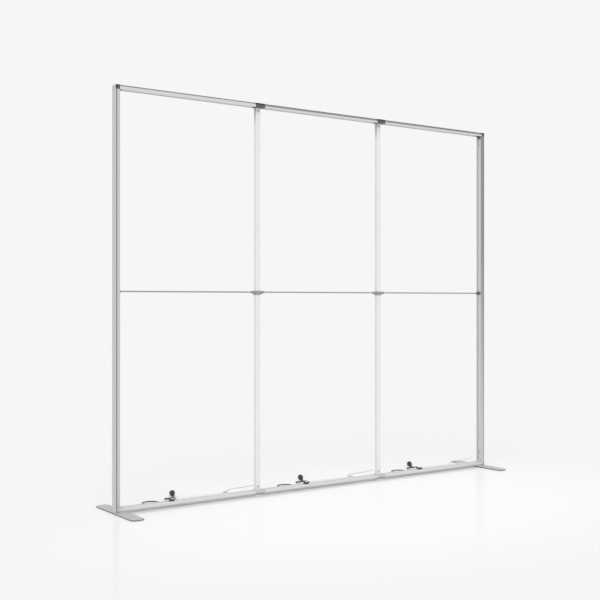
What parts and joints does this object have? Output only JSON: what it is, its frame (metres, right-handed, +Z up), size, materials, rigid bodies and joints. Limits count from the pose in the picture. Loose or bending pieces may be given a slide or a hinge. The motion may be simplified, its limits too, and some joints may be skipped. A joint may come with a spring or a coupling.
{
  "type": "lightbox display wall",
  "caption": "Free-standing bare frame of a fabric lightbox wall: grooved aluminium rails and posts in bays, cross bars, flat feet that turn, slim drivers and loose leads.",
  "frame": {"origin": "on the floor, under the middle of the wall", "axes": "+X along the wall to its right end seen from the front, +Y from its front to its back, +Z up"},
  "size_m": [3.2068, 0.577, 2.5],
  "materials": {
    "anodised_aluminium": "satin anodised",
    "white_tube": "satin white paint",
    "grey_bar": "satin",
    "dark_connector": "fine grain",
    "grey_connector": "fine grain",
    "coupler_aluminium": "as sawn",
    "button_steel": "satin",
    "grey_foot": "fine textured paint",
    "bolt_steel": "satin",
    "driver_case": "satin paint",
    "black_cord": "satin jacket",
    "black_moulding": "satin",
    "white_cord": "satin jacket",
    "white_moulding": "satin"
  },
  "bodies": {
    "frame": {"left_post_lower": "anodised_aluminium", "left_post_upper": "anodised_aluminium", "right_post_lower": "anodised_aluminium", "right_post_upper": "anodised_aluminium", "top_rail_left": "anodised_aluminium", "top_rail_centre": "anodised_aluminium", "top_rail_right": "anodised_aluminium", "bottom_rail_left": "anodised_aluminium", "bottom_rail_centre": "anodised_aluminium", "bottom_rail_right": "anodised_aluminium", "left_inner_post_lower": "white_tube", "left_inner_post_upper": "white_tube", "right_inner_post_lower": "white_tube", "right_inner_post_upper": "white_tube", "cross_bar_left": "grey_bar", "cross_bar_centre": "grey_bar", "cross_bar_right": "grey_bar", "top_left_corner": "dark_connector", "top_right_corner": "dark_connector", "top_left_tee": "dark_connector", "top_right_tee": "dark_connector", "cross_bar_clamps": "dark_connector", "bottom_left_corner": "grey_connector", "bottom_right_corner": "grey_connector", "bottom_left_tee": "grey_connector", "bottom_right_tee": "grey_connector", "outer_post_couplers": "coupler_aluminium", "inner_post_couplers": "coupler_aluminium", "middle_feet": "grey_foot", "foot_bolts": "bolt_steel", "driver_left": "driver_case", "driver_centre": "driver_case", "driver_right": "driver_case", "trunk_lead_left": "black_cord", "trunk_lead_centre": "black_cord", "trunk_lead_right": "black_cord", "plug_lead_left": "black_cord", "plug_lead_centre": "black_cord", "plug_lead_right": "black_cord", "socket_lead_left": "black_cord", "socket_lead_centre": "black_cord", "socket_lead_right": "black_cord", "lead_grommets": "black_moulding", "rail_outlets": "black_moulding", "lead_plugs": "black_moulding", "lead_sockets": "black_moulding", "white_lead_left": "white_cord", "white_lead_centre": "white_cord", "white_lead_right": "white_cord", "white_plugs": "white_moulding"},
    "left_post_top_button": {"left_post_top_button": "button_steel"},
    "left_post_bottom_button": {"left_post_bottom_button": "button_steel"},
    "left_inner_post_top_button": {"left_inner_post_top_button": "button_steel"},
    "left_inner_post_bottom_button": {"left_inner_post_bottom_button": "button_steel"},
    "right_post_top_button": {"right_post_top_button": "button_steel"},
    "right_post_bottom_button": {"right_post_bottom_button": "button_steel"},
    "right_inner_post_top_button": {"right_inner_post_top_button": "button_steel"},
    "right_inner_post_bottom_button": {"right_inner_post_bottom_button": "button_steel"},
    "left_end_foot": {"left_end_foot": "grey_foot"},
    "right_end_foot": {"right_end_foot": "grey_foot"}
  },
  "joints": [
    {"name": "left_post_top_button_press", "type": "slide", "parent": "frame", "child": "left_post_top_button", "axis": [1, 0, 0], "range_m": [-0.0044, 0], "stiffness_N_per_m": 400, "springref_m": 0.002},
    {"name": "left_post_bottom_button_press", "type": "slide", "parent": "frame", "child": "left_post_bottom_button", "axis": [1, 0, 0], "range_m": [-0.0044, 0], "stiffness_N_per_m": 400, "springref_m": 0.002},
    {"name": "left_inner_post_top_button_press", "type": "slide", "parent": "frame", "child": "left_inner_post_top_button", "axis": [0, -1, 0], "range_m": [-0.0044, 0], "stiffness_N_per_m": 400, "springref_m": 0.002},
    {"name": "left_inner_post_bottom_button_press", "type": "slide", "parent": "frame", "child": "left_inner_post_bottom_button", "axis": [0, -1, 0], "range_m": [-0.0044, 0], "stiffness_N_per_m": 400, "springref_m": 0.002},
    {"name": "right_post_top_button_press", "type": "slide", "parent": "frame", "child": "right_post_top_button", "axis": [-1, 0, 0], "range_m": [-0.0044, 0], "stiffness_N_per_m": 400, "springref_m": 0.002},
    {"name": "right_post_bottom_button_press", "type": "slide", "parent": "frame", "child": "right_post_bottom_button", "axis": [-1, 0, 0], "range_m": [-0.0044, 0], "stiffness_N_per_m": 400, "springref_m": 0.002},
    {"name": "right_inner_post_top_button_press", "type": "slide", "parent": "frame", "child": "right_inner_post_top_button", "axis": [0, -1, 0], "range_m": [-0.0044, 0], "stiffness_N_per_m": 400, "springref_m": 0.002},
    {"name": "right_inner_post_bottom_button_press", "type": "slide", "parent": "frame", "child": "right_inner_post_bottom_button", "axis": [0, -1, 0], "range_m": [-0.0044, 0], "stiffness_N_per_m": 400, "springref_m": 0.002},
    {"name": "left_foot_turn", "type": "hinge", "parent": "frame", "child": "left_end_foot", "pos_m": [-1.487, 0, 0.004], "axis": [0, 0, 1], "range_deg": [0, 90]},
    {"name": "right_foot_turn", "type": "hinge", "parent": "frame", "child": "right_end_foot", "pos_m": [1.487, 0, 0.004], "axis": [0, 0, 1], "range_deg": [-90, 0]}
  ]
}
